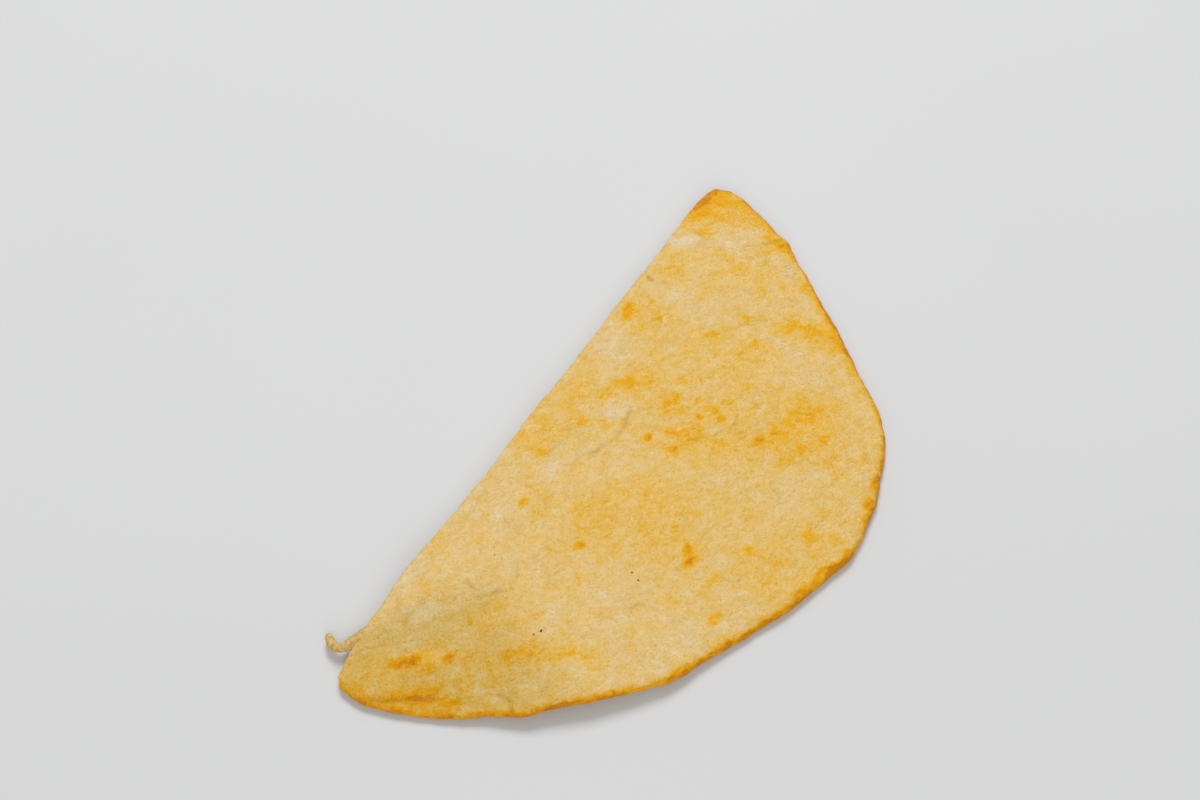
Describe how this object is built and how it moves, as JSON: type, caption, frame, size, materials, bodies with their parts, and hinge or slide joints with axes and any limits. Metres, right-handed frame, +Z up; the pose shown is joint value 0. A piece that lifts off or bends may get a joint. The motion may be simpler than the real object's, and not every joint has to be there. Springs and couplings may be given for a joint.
{
  "type": "naan flatbread half",
  "caption": "Half of a round, hand-stretched naan with one straight cut edge, a thin rounded baked rim and a torn shred of dough at one end of the cut.",
  "frame": {"origin": "middle of the bounding box in plan, on the surface that the bread rests on", "axes": "+X along the cut edge towards the browned tip, +Y out of the cut face, +Z up out of the spotted upper face"},
  "size_m": [0.2428, 0.1276, 0.0088],
  "materials": {
    "baked_crust": "baked golden dough with toasted spots, lightly oiled",
    "open_crumb": "pale torn crumb with small air cells, matt",
    "charred_speck": "dark burnt flour, matt"
  },
  "bodies": {
    "root": {"naan_half": "baked_crust"}
  },
  "joints": []
}
